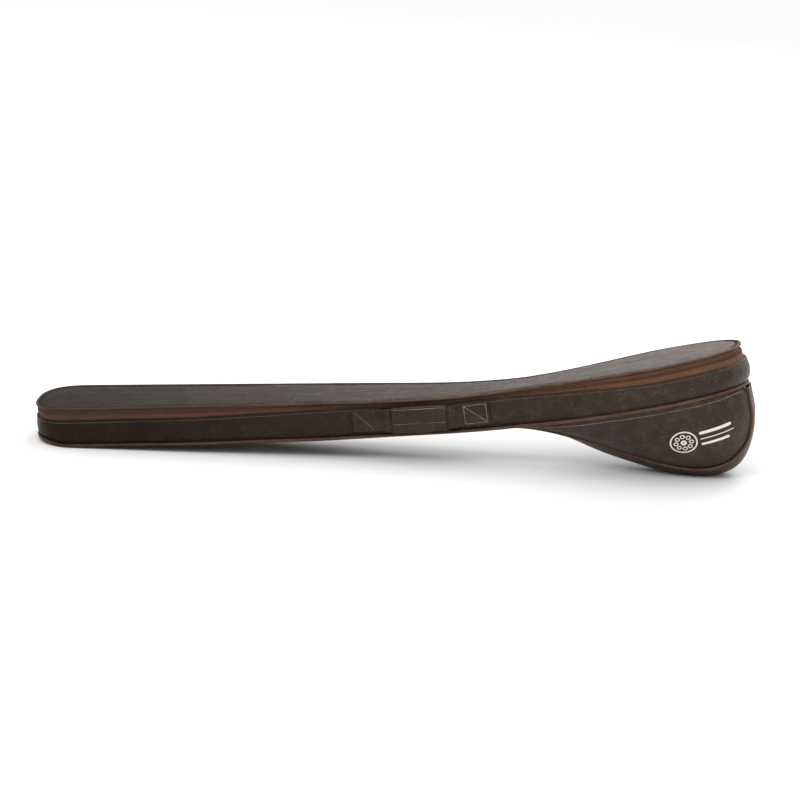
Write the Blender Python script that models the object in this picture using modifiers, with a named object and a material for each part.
"""Zipped leather case for a long-necked lute, closed and lying on its own underside.

The case is drawn on a bent centre line. A point is given by its distance s from the head end,
its distance y across and its height h over the lid's plane, and place() puts it in the world.
Metres, +Z up, +X from the head end to the bowl end, and the front is on -Y.
"""
import math

import bmesh
import bpy
from mathutils import Matrix, Vector

# Outline of the lid, seen from above; what lies on the bowl is placed from the bowl end
CASE_LENGTH = 1.000
LID_END = CASE_LENGTH - 0.0020
HEAD_HALF_WIDTH = 0.065
HEAD_ROUNDING = 0.065
HEAD_POWER = 2.6
THROAT_HALF_WIDTH = 0.0434
THROAT_AT = CASE_LENGTH - 0.329
BOWL_HALF_WIDTH = 0.0982
BOWL_AT = CASE_LENGTH - 0.111
BOWL_ROUNDING = 0.132
BOWL_POWER = 2.3

# Bend and roll of the centre line, in degrees
NECK_PITCH = 4.03
BOWL_PITCH = 14.30
PITCH_FROM = CASE_LENGTH - 0.522
PITCH_TO = CASE_LENGTH - 0.184
BOWL_ROLL = -7.0
ROLL_FROM = CASE_LENGTH - 0.535
ROLL_TO = CASE_LENGTH - 0.166

# Depths under the lid's plane: each is (distance from the head end, depth)
HEAD_DEPTH = 0.0465
NECK_DEPTH = 0.0548
MIDDLE_DEPTH = 0.0496
BOWL_DEPTH = 0.0554
BAND_DEPTH = ((0.00, HEAD_DEPTH), (0.05, NECK_DEPTH - 0.0003), (0.10, NECK_DEPTH),
              (0.22, NECK_DEPTH + 0.0010), (CASE_LENGTH - 0.63, NECK_DEPTH - 0.0008),
              (CASE_LENGTH - 0.45, MIDDLE_DEPTH), (CASE_LENGTH - 0.20, BOWL_DEPTH))
PARTING_DEPTH = ((0.20, 0.0100), (CASE_LENGTH - 0.54, 0.0066),
                 (CASE_LENGTH - 0.36, 0.0066), (CASE_LENGTH - 0.12, 0.0108))
LEATHER_EDGE_DEPTH = ((0.20, 0.0178), (CASE_LENGTH - 0.50, 0.0092),
                      (CASE_LENGTH - 0.38, 0.0092), (CASE_LENGTH - 0.08, 0.0208))
BAND_BULGE = ((CASE_LENGTH - 0.45, 0.0020), (CASE_LENGTH - 0.10, 0.0045), (CASE_LENGTH - 0.01, 0.0070))
BULGE_SKEW = 1.6

# Materials' thicknesses and the play between touching pieces
GAP = 0.0003
LEATHER = 0.0018
PAD_PLAY = 0.0019
PAD_SPLIT = 0.0020
SEAM_SPLIT = 0.0005
TAPE = 0.0010
TAPE_TUCK = 0.0060
WALL_PAD = 0.0090
FLOOR_PAD = 0.0080
LID_PAD = 0.0030
RIM_CORD_RADIUS = 0.0019
BASE_CORD_RADIUS = 0.0024
POUCH_CORD_RADIUS = 0.0025
COIL_RADIUS = 0.0008
LID_SINK = 0.0008
FLOOR_CROWN = 0.0052

# Pouch under the bowl: its side view is a chain of two cubic curves (distance, height)
POUCH_FROM = THROAT_AT + 0.001
POUCH_DEPTH = 0.1615
KEEL_HALF_WIDTH = 0.030
KEEL_START = POUCH_FROM + 0.005
KEEL_LOW = (CASE_LENGTH - 0.070, -POUCH_DEPTH)
KEEL_END = (LID_END, -0.085)
KEEL_SLOPE = ((CASE_LENGTH - 0.240, -0.070), (CASE_LENGTH - 0.140, -POUCH_DEPTH))
KEEL_CORNER = ((CASE_LENGTH - 0.032, -POUCH_DEPTH), (LID_END, -0.130))
KEEL_CROWN = ((CASE_LENGTH - 0.30, 0.002), (CASE_LENGTH - 0.20, 0.014),
              (CASE_LENGTH - 0.05, 0.014), (CASE_LENGTH, 0.003))
PANEL_BULGE = 0.010
PANEL_BULGE_REACH = 0.10
PANEL_DROOP = 0.3
PANEL_CORNER = 0.0030
PANEL_END = 2.75
PAD_TRIM = 0.008
TRIM_LIMIT = 0.35
FLATTENED = 0.0032
NECK_PRESS = 0.0034

# Lid hinge at the rear of the bowl
HINGE_FROM = CASE_LENGTH - 0.155
HINGE_TO = CASE_LENGTH - 0.075
HINGE_STRIP_THICKNESS = 0.0016
HINGE_STRIP_DROP = 0.014
HINGE_CLEARANCE = 0.0020

# Carrying handle on the front of the neck
PATCH_LENGTH = (0.033, 0.0375)
PATCH_AT = (CASE_LENGTH - 0.5275, CASE_LENGTH - 0.37375)
GRIP_AT = CASE_LENGTH - 0.4505
GRIP_LENGTH = 0.077
STRAP_WIDTH = 0.032
STRAP_THICKNESS = 0.0030
STRAP_DEPTH = 0.0265
GRIP_WIDTH = 0.037
GRIP_THICKNESS = 0.0115
GRIP_STAND_OFF = 0.0100
GRIP_EDGE = 0.0035
PATCH_EDGE = 0.0008

# Zipper slider on the rear of the flare
SLIDER_AT = CASE_LENGTH - 0.194
SLIDER_TRAVEL = 0.050
SLIDER_LENGTH = 0.0130
SLIDER_PLAY = 0.0006
SLIDER_PLATE = 0.0012
SLIDER_RISE = 0.0022
LIP_SHARE = 0.8
LUG_SIZE = (0.0012, 0.0040, 0.0036)
LUG_REACH = 0.0016
LUG_DROP = 0.0010
PIN_REACH = 0.0022
PULL_LENGTH = 0.022
PULL_WIDTH = 0.008
PULL_THICKNESS = 0.0020
PULL_NECK_LENGTH = 0.0076
PULL_NECK_DROP = 0.0030
PULL_TAB_DROP = 0.0148
BURIED = 0.0003

# Fineness of the faceting
SPINE_STEPS = 400
TILT_LIMIT = 8.0
TILT_STEPS = 24
OUTLINE_STEPS = 600
SIDE_RUNS = (17, 4, 3, 7, 2)
TURN_WEIGHT = 0.12


def smooth(t):
    t = min(max(t, 0.0), 1.0)
    return t * t * (3.0 - 2.0 * t)


def along(s, knots):
    """Value at distance s of a curve that eases from one (distance, value) knot to the next."""
    if s <= knots[0][0]:
        return knots[0][1]
    for (s0, v0), (s1, v1) in zip(knots, knots[1:]):
        if s <= s1:
            return v0 + (v1 - v0) * smooth((s - s0) / (s1 - s0))
    return knots[-1][1]


def build_spine(tilt):
    """Points and frames along the bent and rolled centre line, all turned by the tilt in degrees."""
    rows = []
    point = Vector((0.0, 0.0, 0.0))
    step = CASE_LENGTH / SPINE_STEPS
    for i in range(SPINE_STEPS + 1):
        s = i * step
        pitch = math.radians(tilt + along(s, ((PITCH_FROM, NECK_PITCH), (PITCH_TO, BOWL_PITCH))))
        roll = math.radians(along(s, ((ROLL_FROM, 0.0), (ROLL_TO, BOWL_ROLL))))
        tangent = Vector((math.cos(pitch), 0.0, math.sin(pitch)))
        turn = Matrix.Rotation(roll, 3, tangent)
        side = turn @ Vector((0.0, 1.0, 0.0))
        up = tangent.cross(side)
        rows.append((point.copy(), tangent, side, up))
        point += tangent * step
    return rows


SPINE = build_spine(0.0)


def frame_at(s):
    """Centre point, tangent, rear side and up directions at distance s."""
    inside = min(max(s, 0.0), CASE_LENGTH)
    f = inside / CASE_LENGTH * SPINE_STEPS
    i = min(int(f), SPINE_STEPS - 1)
    k = f - i
    mixed = [a.lerp(b, k) for a, b in zip(SPINE[i], SPINE[i + 1])]
    mixed[0] += mixed[1] * (s - inside)
    return mixed


def place(s, y, h):
    point, _, side, up = frame_at(s)
    return point + side * y + up * h


def half_width(s):
    """Half width of the lid before its ends are rounded."""
    neck = HEAD_HALF_WIDTH + (THROAT_HALF_WIDTH - HEAD_HALF_WIDTH) * min(s / THROAT_AT, 1.0)
    flare = smooth((s - THROAT_AT) / (BOWL_AT - THROAT_AT))
    return neck + (BOWL_HALF_WIDTH - THROAT_HALF_WIDTH) * flare


def dense_outline():
    """One side of the lid's outline, from the middle of the head end to that of the bowl end."""
    points = []
    quarter = OUTLINE_STEPS // 4
    for i in range(quarter):
        a = 0.5 * math.pi * i / quarter
        s = HEAD_ROUNDING * (1.0 - math.cos(a) ** (2.0 / HEAD_POWER))
        points.append((s, half_width(s) * math.sin(a) ** (2.0 / HEAD_POWER)))
    last = LID_END - BOWL_ROUNDING
    for i in range(2 * quarter):
        s = HEAD_ROUNDING + (last - HEAD_ROUNDING) * i / (2 * quarter)
        points.append((s, half_width(s)))
    for i in range(quarter + 1):
        a = 0.5 * math.pi * i / quarter
        s = last + BOWL_ROUNDING * math.sin(a) ** (2.0 / BOWL_POWER)
        points.append((s, half_width(s) * max(math.cos(a), 0.0) ** (2.0 / BOWL_POWER)))
    return points


def outline_stations():
    """Stations (s, half width, outward normal) on one side, denser where the outline turns.

    Runs end where the pouch starts, at both ends of the hinge and where the keel meets the end.
    """
    dense = dense_outline()
    normals = []
    for i in range(len(dense)):
        a = dense[max(i - 1, 0)]
        b = dense[min(i + 1, len(dense) - 1)]
        n = Vector((a[1] - b[1], b[0] - a[0])).normalized()
        normals.append(n)
    normals[0] = Vector((-1.0, 0.0))
    normals[-1] = Vector((1.0, 0.0))
    measure = [0.0]
    for i in range(1, len(dense)):
        length = math.dist(dense[i - 1], dense[i])
        turn = normals[i - 1].angle(normals[i])
        measure.append(measure[-1] + length + TURN_WEIGHT * turn)
    ends = [0]
    for s in (POUCH_FROM, HINGE_FROM, HINGE_TO):
        ends.append(next(i for i, p in enumerate(dense) if p[0] >= s))
    ends.append(next(i for i, p in enumerate(dense) if p[0] > HINGE_TO and p[1] <= KEEL_HALF_WIDTH))
    ends.append(len(dense) - 1)
    stations = []
    for run, count in enumerate(SIDE_RUNS):
        first, last = ends[run], ends[run + 1]
        for k in range(count):
            target = measure[first] + (measure[last] - measure[first]) * k / count
            i = next(j for j in range(first, last + 1) if measure[j] >= target)
            stations.append((dense[i][0], dense[i][1], normals[i]))
    stations.append((dense[-1][0], dense[-1][1], normals[-1]))
    return stations


STATIONS = outline_stations()
POUCH_RUN = SIDE_RUNS[0]
HINGE_RUN = POUCH_RUN + SIDE_RUNS[1]
HINGE_RUN_END = HINGE_RUN + SIDE_RUNS[2]
CORNER_RUN = HINGE_RUN_END + SIDE_RUNS[3]


def rim(station, sign, out, h, split=0.0):
    """World point at a station, `out` outward from the outline and h over the lid's plane.

    A half that stops at the middle plane keeps the distance `split` from it.
    """
    s, w, n = station
    return place(s + n[0] * out, sign * max(w + n[1] * out, split), h)


def bulge(s, h):
    t = min(max(-h / along(s, BAND_DEPTH), 0.0), 1.0)
    return along(s, BAND_BULGE) * math.sin(math.pi * t**BULGE_SKEW)


# Objects

CASE = bpy.data.collections.new("long_neck_lute_case")
MATERIALS = {}


def clear_scene():
    for obj in list(bpy.data.objects):
        bpy.data.objects.remove(obj, do_unlink=True)
    bpy.context.scene.collection.children.link(CASE)


def material(name, colour, roughness, metallic=0.0):
    made = bpy.data.materials.new(name)
    made.use_nodes = True
    shader = made.node_tree.nodes["Principled BSDF"]
    shader.inputs["Base Color"].default_value = (*colour, 1.0)
    shader.inputs["Roughness"].default_value = roughness
    shader.inputs["Metallic"].default_value = metallic
    MATERIALS[name] = made


def make_materials():
    material("leather_dark", (0.045, 0.030, 0.022), 0.55)
    material("leather_lid", (0.130, 0.100, 0.085), 0.38)
    material("leather_cord", (0.180, 0.075, 0.040), 0.45)
    material("zip_tape", (0.330, 0.130, 0.045), 0.80)
    material("zip_coil", (0.200, 0.080, 0.030), 0.50)
    material("plush_padding", (0.110, 0.060, 0.040), 0.95)
    material("antique_brass", (0.300, 0.210, 0.110), 0.40, 1.0)


def finish(obj, material_name, parent):
    obj.data.materials.clear()
    obj.data.materials.append(MATERIALS[material_name])
    obj.parent = parent
    obj.matrix_parent_inverse = parent.matrix_world.inverted()
    return obj


def empty(name, location, parent=None):
    obj = bpy.data.objects.new(name, None)
    CASE.objects.link(obj)
    obj.location = location
    bpy.context.view_layer.update()
    if parent is not None:
        obj.parent = parent
        obj.matrix_parent_inverse = parent.matrix_world.inverted()
        bpy.context.view_layer.update()
    return obj


def middle_plane(point):
    return Vector((point.x, 0.0, point.z))


def just_under(point):
    return point - Vector((0.0, 0.0, 1.0))


def just_over(point):
    return point + Vector((0.0, 0.0, 1.0))


def inside_pouch(_):
    s = BOWL_AT
    return place(s, 0.0, 0.5 * (KEEL_LOW[1] - along(s, BAND_DEPTH)))


def sheet(name, rows, thickness, material_name, parent, lean):
    """Surface through rows of points, thickened; its faces look away from `lean(point)`."""
    bm = bmesh.new()
    grid = [[bm.verts.new(p) for p in row] for row in rows]
    for a, b in zip(grid, grid[1:]):
        for i in range(len(a) - 1):
            bm.faces.new((a[i], a[i + 1], b[i + 1], b[i]))
    bmesh.ops.remove_doubles(bm, verts=bm.verts, dist=0.00005)
    bm.normal_update()
    outward = 0.0
    for face in bm.faces:
        centre = face.calc_center_median()
        outward += (centre - lean(centre)).dot(face.normal) * face.calc_area()
    if outward < 0.0:
        bmesh.ops.reverse_faces(bm, faces=bm.faces)
    mesh = bpy.data.meshes.new(name)
    bm.to_mesh(mesh)
    bm.free()
    obj = bpy.data.objects.new(name, mesh)
    CASE.objects.link(obj)
    solid = obj.modifiers.new("thickness", "SOLIDIFY")
    solid.thickness = thickness
    solid.offset = -1.0
    solid.use_even_offset = False
    return finish(obj, material_name, parent)


def cord(name, points, radius, material_name, parent, cyclic=False, resolution=2):
    """Round cord through the points."""
    curve = bpy.data.curves.new(name, "CURVE")
    curve.dimensions = "3D"
    curve.bevel_depth = radius
    curve.bevel_resolution = resolution
    curve.use_fill_caps = not cyclic
    spline = curve.splines.new("POLY")
    spline.points.add(len(points) - 1)
    for target, point in zip(spline.points, points):
        target.co = (*point, 1.0)
    spline.use_cyclic_u = cyclic
    obj = bpy.data.objects.new(name, curve)
    CASE.objects.link(obj)
    return finish(obj, material_name, parent)


def block(name, centre, axes, size, edge, material_name, parent, segments=2):
    """Box of the given size along three axes, with rounded edges."""
    bm = bmesh.new()
    bmesh.ops.create_cube(bm, size=1.0)
    bmesh.ops.scale(bm, vec=size, verts=bm.verts)
    mesh = bpy.data.meshes.new(name)
    bm.to_mesh(mesh)
    bm.free()
    obj = bpy.data.objects.new(name, mesh)
    CASE.objects.link(obj)
    turn = Matrix((axes[0], axes[1], axes[2])).transposed().to_4x4()
    obj.matrix_world = Matrix.Translation(centre) @ turn
    bpy.context.view_layer.update()
    if edge > 0.0:
        bevel = obj.modifiers.new("edges", "BEVEL")
        bevel.width = edge
        bevel.segments = segments
    return finish(obj, material_name, parent)


def union(target, extra):
    """Joins `extra` to `target` as one closed solid."""
    bpy.context.view_layer.update()
    graph = bpy.context.evaluated_depsgraph_get()
    both = []
    for obj in (target, extra):
        mesh = bpy.data.meshes.new_from_object(obj.evaluated_get(graph))
        mesh.transform(obj.matrix_world)
        both.append(mesh)
    name = target.name
    parent = target.parent
    slot = target.active_material.name
    bpy.data.objects.remove(target)
    bpy.data.objects.remove(extra)
    base = bpy.data.objects.new(name, both[0])
    tool = bpy.data.objects.new(name + "_tool", both[1])
    CASE.objects.link(base)
    CASE.objects.link(tool)
    join = base.modifiers.new("join", "BOOLEAN")
    join.operation = "UNION"
    join.solver = "EXACT"
    join.object = tool
    bpy.context.view_layer.update()
    graph = bpy.context.evaluated_depsgraph_get()
    joined = bpy.data.meshes.new_from_object(base.evaluated_get(graph))
    base.modifiers.clear()
    base.data = joined
    bpy.data.objects.remove(tool)
    return finish(base, slot, parent)


# Side band

SIDES = (("front", -1.0), ("rear", 1.0))
TAPE_OUT = -(LEATHER + GAP)
PAD_OUT = TAPE_OUT - TAPE - GAP


def band_rows(top, bottom, out, levels, sign, split):
    """Rows down the band from depth curve `top` to `bottom`, following its bulge."""
    rows = []
    for station in STATIONS:
        s = station[0]
        row = []
        for k in range(levels + 1):
            h = -(top(s) + (bottom(s) - top(s)) * k / levels)
            row.append(rim(station, sign, out + bulge(s, h), h, split))
        rows.append(row)
    return rows


def wall_shell(name, rows, thickness, material_name, parent):
    """Upright shell whose thickness goes towards the middle plane."""
    return sheet(name, rows, thickness, material_name, parent, middle_plane)


def make_band(parent):
    for side, sign in SIDES:
        leather = band_rows(lambda s: along(s, LEATHER_EDGE_DEPTH),
                            lambda s: along(s, BAND_DEPTH) - BASE_CORD_RADIUS - GAP,
                            0.0, 4, sign, SEAM_SPLIT)
        wall_shell("band_leather_" + side, leather, LEATHER, "leather_dark", parent)
        pad = band_rows(lambda s: along(s, PARTING_DEPTH) + 2 * GAP,
                        lambda s: along(s, BAND_DEPTH) - FLOOR_PAD - 8 * GAP,
                        PAD_OUT, 4, sign, PAD_SPLIT)
        wall_shell("band_padding_" + side, pad, WALL_PAD, "plush_padding", parent)


def make_base_cord(parent):
    points = []
    for sign, stations in ((-1.0, STATIONS), (1.0, STATIONS[-2:0:-1])):
        for station in stations:
            points.append(rim(station, sign, 0.0, -along(station[0], BAND_DEPTH)))
    cord("base_piping", points, BASE_CORD_RADIUS, "leather_cord", parent, cyclic=True)


# Underside of the neck

def floor_rows(out, lift, crown, last, columns):
    rows = []
    for s, w, n in STATIONS[:last + 1]:
        rows.append([])
        edge = max(w + n[1] * out, 0.0)
        for k in range(columns + 1):
            c = -1.0 + 2.0 * k / columns
            sag = crown * (1.0 - c * c) * min(edge / THROAT_HALF_WIDTH, 1.0)
            rows[-1].append(place(s + n[0] * out, edge * c, lift - along(s, BAND_DEPTH) - sag))
    return rows


def neck_underside():
    return floor_rows(-(BASE_CORD_RADIUS + GAP), -LEATHER / 2, FLOOR_CROWN, POUCH_RUN, 4)


def make_neck_floor(parent):
    rows = flatten(neck_underside(), floor_level())
    sheet("neck_floor_leather", rows, LEATHER, "leather_dark", parent, just_over)
    rows = floor_rows(PAD_OUT, LEATHER / 2 + 3 * GAP, 0.0, POUCH_RUN, 2)
    sheet("neck_floor_padding", rows, FLOOR_PAD, "plush_padding", parent, just_over)


# Pouch under the bowl

def cubic(a, b, c, d, t):
    u = 1.0 - t
    return [u**3 * p + 3 * u * u * t * q + 3 * u * t * t * r + t**3 * v
            for p, q, r, v in zip(a, b, c, d)]


def keel_point(t):
    """Keel in the side plane: t runs 0..1 down the slope, 1..2 round the corner, 2..3 up."""
    start = (KEEL_START, -along(KEEL_START, BAND_DEPTH) - BASE_CORD_RADIUS - GAP)
    if t <= 1.0:
        return cubic(start, *KEEL_SLOPE, KEEL_LOW, t)
    if t <= 2.0:
        return cubic(KEEL_LOW, *KEEL_CORNER, KEEL_END, t - 1.0)
    top = -along(CASE_LENGTH, BAND_DEPTH) - 2 * BASE_CORD_RADIUS - GAP
    return [KEEL_END[0], KEEL_END[1] + (top - KEEL_END[1]) * (t - 2.0)]


def keel_at(s):
    """Parameter of the slope where it passes distance s."""
    low, high = 0.0, 1.0
    for _ in range(30):
        mid = 0.5 * (low + high)
        if keel_point(mid)[0] < s:
            low = mid
        else:
            high = mid
    return 0.5 * (low + high)


def keel_parameters():
    """One keel parameter for each station between the pouch's start and its end corner."""
    values = []
    turn_start = HINGE_RUN_END
    for i in range(POUCH_RUN, CORNER_RUN + 1):
        if i <= turn_start:
            values.append(keel_at(max(STATIONS[i][0], KEEL_START)))
        else:
            before = values[turn_start - POUCH_RUN]
            values.append(before + (3.0 - before) * (i - turn_start) / (CORNER_RUN - turn_start))
    return values


KEEL = keel_parameters()


def keel_normal(t):
    a = keel_point(max(t - 0.01, 0.0))
    b = keel_point(min(t + 0.01, 3.0))
    n = Vector((b[1] - a[1], a[0] - b[0])).normalized()
    return n if n[1] < 0.0 or n[0] > 0.0 else -n


def keel_edge(t, sign, across, out=0.0):
    """World point on the keel, `across` from its middle and `out` beyond its side view."""
    s, h = keel_point(t)
    n = keel_normal(t)
    return place(s + n[0] * out, sign * across, h + n[1] * out)


def panel_point(index, v, sign):
    """Point of a pouch side panel from its top edge (v 0) to the keel (v 1)."""
    station = STATIONS[POUCH_RUN + index]
    t = KEEL[index]
    depth = along(station[0], BAND_DEPTH) + BASE_CORD_RADIUS + 6 * GAP
    top = rim(station, sign, 0.0, -depth)
    low = keel_edge(t, sign, KEEL_HALF_WIDTH)
    reach = (low - top).length
    down = (low - top).normalized()
    _, tangent, side, up = frame_at(station[0])
    ahead = tangent * station[2][0] + side * sign * station[2][1]
    out = (ahead - down * ahead.dot(down) - up * PANEL_DROOP).normalized()
    swell = PANEL_BULGE * min(reach / PANEL_BULGE_REACH, 1.0) * math.sin(math.pi * v)
    return top + (low - top) * v + out * swell


def panel_rows(sign, trim_top, trim_low, levels):
    """Rows of a side panel, stopping short of the top cord and of the keel's cord."""
    rows = []
    for index, t in enumerate(KEEL):
        ruling = panel_point(index, 1.0, sign) - panel_point(index, 0.0, sign)
        reach = ruling.length
        after = keel_edge(t + 0.02, sign, KEEL_HALF_WIDTH)
        keel_run = after - keel_edge(t - 0.02, sign, KEEL_HALF_WIDTH)
        slant = math.sin(ruling.angle(keel_run))
        first = min(trim_top / reach, TRIM_LIMIT)
        last = 1.0 - min(trim_low / (reach * slant), TRIM_LIMIT)
        rows.append([panel_point(index, first + (last - first) * k / levels, sign)
                     for k in range(levels + 1)])
    beside = KEEL_HALF_WIDTH + POUCH_CORD_RADIUS + 2 * PANEL_CORNER
    rows[-1] = [keel_edge(PANEL_END, sign, beside, -PANEL_CORNER)] * (levels + 1)
    return rows


def inset_rows(rows, distance):
    """Rows moved along the surface's normals, away from its outer side."""
    moved = []
    for i, row in enumerate(rows):
        moved.append([])
        for k, p in enumerate(row):
            da = rows[min(i + 1, len(rows) - 1)][k] - rows[max(i - 1, 0)][k]
            db = row[min(k + 1, len(row) - 1)] - row[max(k - 1, 0)]
            n = da.cross(db).normalized()
            if n.dot(p - inside_pouch(p)) < 0.0:
                n = -n
            moved[-1].append(p - n * distance)
    return moved


def gusset_rows(across, levels, first=0):
    rows = []
    for t in KEEL[first:]:
        s = keel_point(t)[0]
        crown = along(s, KEEL_CROWN) if t < 2.0 else KEEL_CROWN[-1][1]
        row = []
        for k in range(levels + 1):
            c = -1.0 + 2.0 * k / levels
            share = across * c / KEEL_HALF_WIDTH
            row.append(keel_edge(t, 1.0, across * c, crown * (1.0 - share * share)))
        rows.append(row)
    return rows


def flatten(rows, level):
    for row in rows:
        for p in row:
            p.z = max(p.z, level)
    return rows


def floor_level():
    """Height at which the pouch's underside is pressed flat by what it lies on."""
    rows = gusset_rows(KEEL_HALF_WIDTH, 6)
    return min(p.z for row in rows for p in row) + FLATTENED


def settle():
    """Tilts the case until its neck rests where the pouch does, pressed in by NECK_PRESS."""
    low, high = -TILT_LIMIT, TILT_LIMIT
    tilt = 0.0
    for _ in range(TILT_STEPS):
        SPINE[:] = build_spine(tilt)
        lowest = min(p.z for row in neck_underside() for p in row)
        if floor_level() - lowest > NECK_PRESS:
            high = tilt
        else:
            low = tilt
        tilt = 0.5 * (low + high)
    return tilt


def make_pouch(parent):
    seam = POUCH_CORD_RADIUS + 2 * GAP
    for side, sign in SIDES:
        rows = panel_rows(sign, 0.0, seam, 4)
        sheet("pouch_panel_" + side, rows, LEATHER, "leather_dark", parent, inside_pouch)
        rows = panel_rows(sign, PAD_TRIM, PAD_TRIM + 0.001, 4)[1:-3]
        rows = inset_rows(rows, LEATHER + PAD_PLAY)
        sheet("pouch_padding_" + side, rows, FLOOR_PAD, "plush_padding", parent, inside_pouch)
        points = [keel_edge(t, sign, KEEL_HALF_WIDTH) for t in KEEL]
        cord("pouch_piping_" + side, points, POUCH_CORD_RADIUS, "leather_cord", parent)
    rows = flatten(gusset_rows(KEEL_HALF_WIDTH - seam, 6), floor_level())
    sheet("pouch_gusset", rows, LEATHER, "leather_dark", parent, inside_pouch)
    rows = gusset_rows(KEEL_HALF_WIDTH - seam - PAD_TRIM, 2, first=2)
    rows = inset_rows(rows, FLATTENED + LEATHER + GAP)
    sheet("pouch_padding_gusset", rows[:-1], FLOOR_PAD, "plush_padding", parent, inside_pouch)


# Zipper and lid

def zip_chain():
    """Stations and sides along the zipper, from one end of the hinge round to the other."""
    rear_end = [(station, 1.0) for station in STATIONS[HINGE_RUN_END:-1]]
    front = [(station, -1.0) for station in reversed(STATIONS)]
    rear_neck = [(station, 1.0) for station in STATIONS[1:HINGE_RUN + 1]]
    return rear_end + front + rear_neck


def zip_rows(top, bottom):
    rows = []
    for station, sign in zip_chain():
        s = station[0]
        row = []
        for k in range(3):
            h = -(top(s) + (bottom(s) - top(s)) * k / 2)
            row.append(rim(station, sign, TAPE_OUT + bulge(s, h), h))
        rows.append(row)
    return rows


def make_zip_half(half, top, bottom, coil_depth, parent):
    wall_shell("zipper_tape_" + half, zip_rows(top, bottom), TAPE, "zip_tape", parent)
    out = TAPE_OUT + GAP + COIL_RADIUS
    points = []
    for station, sign in zip_chain():
        h = -coil_depth(station[0])
        points.append(rim(station, sign, out + bulge(station[0], h), h))
    cord("zipper_coil_" + half, points, COIL_RADIUS, "zip_coil", parent, resolution=1)


def make_zipper(body, lid):
    def parting(s):
        return along(s, PARTING_DEPTH)

    make_zip_half("lower", lambda s: parting(s) + GAP,
                  lambda s: along(s, LEATHER_EDGE_DEPTH) + TAPE_TUCK,
                  lambda s: parting(s) + GAP + COIL_RADIUS, body)
    make_zip_half("upper", lambda s: 2 * RIM_CORD_RADIUS + GAP,
                  lambda s: parting(s) - GAP,
                  lambda s: parting(s) - GAP - COIL_RADIUS, lid)


def lid_rows(out, h):
    rows = []
    for s, w, n in STATIONS:
        edge = max(w + n[1] * out, 0.0)
        rows.append([place(s + n[0] * out, edge * c, h) for c in (-1.0, 1.0)])
    return rows


def make_lid(parent):
    rows = lid_rows(-(RIM_CORD_RADIUS + GAP), -LID_SINK)
    sheet("lid_leather", rows, LEATHER, "leather_lid", parent, just_under)
    rows = lid_rows(PAD_OUT, -LID_SINK - LEATHER - GAP)
    sheet("lid_padding", rows, LID_PAD, "plush_padding", parent, just_under)
    points = []
    for sign, stations in ((-1.0, STATIONS), (1.0, STATIONS[-2:0:-1])):
        points += [rim(station, sign, 0.0, -RIM_CORD_RADIUS) for station in stations]
    cord("lid_rim_piping", points, RIM_CORD_RADIUS, "leather_cord", parent, cyclic=True)


# Hinge of the lid

def hinge_axis():
    """Middle of the hinge line and its direction, along the bowl's rear edge."""
    s = 0.5 * (HINGE_FROM + HINGE_TO)
    h = -along(s, PARTING_DEPTH)
    out = max(w for _, w, _ in STATIONS) + bulge(s, h) + HINGE_CLEARANCE
    _, tangent, _, _ = frame_at(s)
    return place(s, out, h), tangent.copy()


def make_hinge_strip(parent):
    """Leather strip over the closed gap at the rear of the bowl, sewn to band and lid."""
    rows = []
    for station in STATIONS[HINGE_RUN:HINGE_RUN_END + 1]:
        s = station[0]
        top = RIM_CORD_RADIUS * 2 + GAP
        bottom = along(s, LEATHER_EDGE_DEPTH) + HINGE_STRIP_DROP
        row = []
        for k in range(5):
            h = -(top + (bottom - top) * k / 4)
            out = 3 * GAP + HINGE_STRIP_THICKNESS + bulge(s, h)
            row.append(rim(station, 1.0, out, h))
        rows.append(row)
    wall_shell("lid_hinge_strip", rows, HINGE_STRIP_THICKNESS, "leather_dark", parent)


# Handle

def wall_axes(s, sign):
    """Along, outward and up directions of the band's outer side at distance s."""
    before = place(s - 0.01, sign * half_width(s - 0.01), 0.0)
    after = place(s + 0.01, sign * half_width(s + 0.01), 0.0)
    run = (after - before).normalized()
    up = frame_at(s)[3]
    up = (up - run * up.dot(run)).normalized()
    out = run.cross(up) if sign < 0.0 else up.cross(run)
    return run, out, up


def wall_point(s, sign, out, h):
    run, outward, _ = wall_axes(s, sign)
    return place(s, sign * half_width(s), h) + outward * out


def patch_stand_off(s):
    return along(s, BAND_BULGE) + 3 * GAP + STRAP_THICKNESS / 2


def make_handle(body, moving):
    """Two sewn patches, a grip held off the band and a strap from each patch to the grip."""
    grip_ends = (GRIP_AT - GRIP_LENGTH / 2, GRIP_AT + GRIP_LENGTH / 2)
    run, out, up = wall_axes(GRIP_AT, -1.0)
    block("handle_grip", wall_point(GRIP_AT, -1.0, GRIP_STAND_OFF, -STRAP_DEPTH), (run, out, up),
          (GRIP_LENGTH, GRIP_THICKNESS, GRIP_WIDTH), GRIP_EDGE, "leather_dark", moving, segments=3)
    for side, middle, length, held in zip(("head", "bowl"), PATCH_AT, PATCH_LENGTH, grip_ends):
        run, out, up = wall_axes(middle, -1.0)
        stand = patch_stand_off(middle + length / 2)
        block("handle_patch_" + side, wall_point(middle, -1.0, stand, -STRAP_DEPTH), (run, out, up),
              (length, STRAP_THICKNESS, STRAP_WIDTH), PATCH_EDGE, "leather_dark", body)
        fixed = middle + math.copysign(length / 2, held - middle)
        make_strap("handle_strap_" + side, fixed, held, body)


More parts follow.
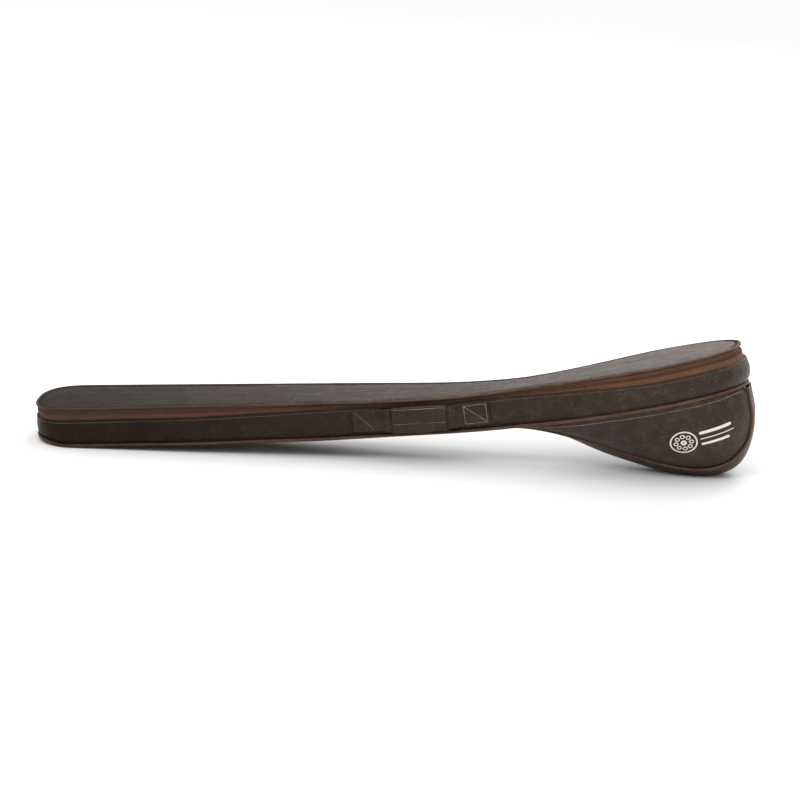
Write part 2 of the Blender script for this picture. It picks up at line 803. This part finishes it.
def make_strap(name, fixed, held, parent):
    """Strap that rises from a patch's end at `fixed` to the grip's end at `held`."""
    inset = math.copysign(4 * GAP, held - fixed)
    stand = patch_stand_off(max(fixed, held))
    rows = []
    for k in range(5):
        t = k / 4
        s = fixed + inset + (held - fixed - 2 * inset) * t
        off = stand + (GRIP_STAND_OFF - stand) * smooth(t) + STRAP_THICKNESS / 2
        rows.append([wall_point(s, -1.0, off, -STRAP_DEPTH + STRAP_WIDTH / 2),
                     wall_point(s, -1.0, off, -STRAP_DEPTH - STRAP_WIDTH / 2)])
    wall_shell(name, rows, STRAP_THICKNESS, "leather_dark", parent)


# Slider and pull

def slider_line():
    """Start and end of the slider's travel on the rear of the flare."""
    ends = []
    for s in (SLIDER_AT, SLIDER_AT - SLIDER_TRAVEL):
        h = -along(s, PARTING_DEPTH)
        ends.append(place(s, half_width(s) + bulge(s, h), h))
    return ends


def slider_axes():
    """Along the zipper, away from the wall and up."""
    start, end = slider_line()
    run = (end - start).normalized()
    up = frame_at(SLIDER_AT - SLIDER_TRAVEL / 2)[3]
    up = (up - run * up.dot(run)).normalized()
    return run, run.cross(up), up


def pull_axes():
    """The same for the pull, which hangs straight down."""
    run, _, _ = slider_axes()
    plumb = Vector((0.0, 0.0, 1.0))
    up = (plumb - run * plumb.dot(run)).normalized()
    return run, run.cross(up), up


def plate_inside():
    """How far out of the outline the slider's plate starts, clear of the coils."""
    return TAPE_OUT + GAP + 2 * COIL_RADIUS + SLIDER_PLAY


def pull_pivot():
    start, _ = slider_line()
    _, out, up = slider_axes()
    return start + out * (plate_inside() + SLIDER_PLATE + PIN_REACH) - up * LUG_DROP


def make_slider(slider):
    """Front plate with a lip under the coils and two lugs for the pull."""
    start, _ = slider_line()
    axes = slider_axes()
    run, out, up = axes
    near = plate_inside()
    foot = -(GAP + 2 * COIL_RADIUS + SLIDER_PLAY) - SLIDER_PLATE
    height = SLIDER_RISE - foot
    plate = block("zipper_slider", start + out * (near + SLIDER_PLATE / 2) + up * (foot + height / 2),
                  axes, (SLIDER_LENGTH, SLIDER_PLATE, height), 0.0003, "antique_brass", slider, 1)
    depth = 2 * COIL_RADIUS - 2 * GAP
    lip = block("zipper_slider_lip",
                start + out * (near - depth / 2 + BURIED) + up * (foot + SLIDER_PLATE / 2), axes,
                (SLIDER_LENGTH * LIP_SHARE, depth + 2 * BURIED, SLIDER_PLATE), 0.0, "antique_brass", slider)
    plate = union(plate, lip)
    for k in (-1.0, 1.0):
        centre = start + out * (near + SLIDER_PLATE + LUG_REACH) - up * LUG_DROP + run * k * lug_offset()
        lug = block("zipper_slider_lug", centre, axes, LUG_SIZE, 0.0, "antique_brass", slider)
        plate = union(plate, lug)


def lug_offset():
    return PULL_WIDTH / 2 - LUG_SIZE[0] - 0.0002


def make_pull(pull):
    """Leather tab whose neck hangs between the slider's lugs."""
    pivot = pull_pivot()
    hang = pull_axes()
    down = -hang[2]
    tab = block("zipper_pull", pivot + down * PULL_TAB_DROP, hang,
                (PULL_WIDTH, PULL_THICKNESS, PULL_LENGTH), 0.0005, "leather_cord", pull, 1)
    width = 2 * (lug_offset() - LUG_SIZE[0] / 2 - GAP)
    neck = block("zipper_pull_neck", pivot + down * PULL_NECK_DROP, hang,
                 (width, LUG_SIZE[0], PULL_NECK_LENGTH), 0.0, "leather_cord", pull)
    union(tab, neck)


def centre_on_floor(root):
    """Moves the whole case so that the middle of its underside is the origin."""
    bpy.context.view_layer.update()
    graph = bpy.context.evaluated_depsgraph_get()
    low = Vector((math.inf,) * 3)
    high = -low
    for obj in CASE.objects:
        if obj.type == "EMPTY":
            continue
        for vertex in obj.evaluated_get(graph).to_mesh().vertices:
            point = obj.matrix_world @ vertex.co
            low = Vector(map(min, low, point))
            high = Vector(map(max, high, point))
    middle = (low + high) / 2
    root.location = (-middle.x, -middle.y, -low.z)


def main():
    clear_scene()
    make_materials()
    settle()
    root = empty("case_origin", (0.0, 0.0, 0.0))
    lid = empty("lid_axis", hinge_axis()[0], root)
    grip = empty("grip_axis", wall_point(GRIP_AT, -1.0, GRIP_STAND_OFF, -STRAP_DEPTH), root)
    slider = empty("slider_axis", slider_line()[0], root)
    pull = empty("pull_axis", pull_pivot(), slider)
    make_band(root)
    make_base_cord(root)
    make_neck_floor(root)
    make_pouch(root)
    make_zipper(root, lid)
    make_lid(lid)
    make_hinge_strip(root)
    make_handle(root, grip)
    make_slider(slider)
    make_pull(pull)
    centre_on_floor(root)


main()
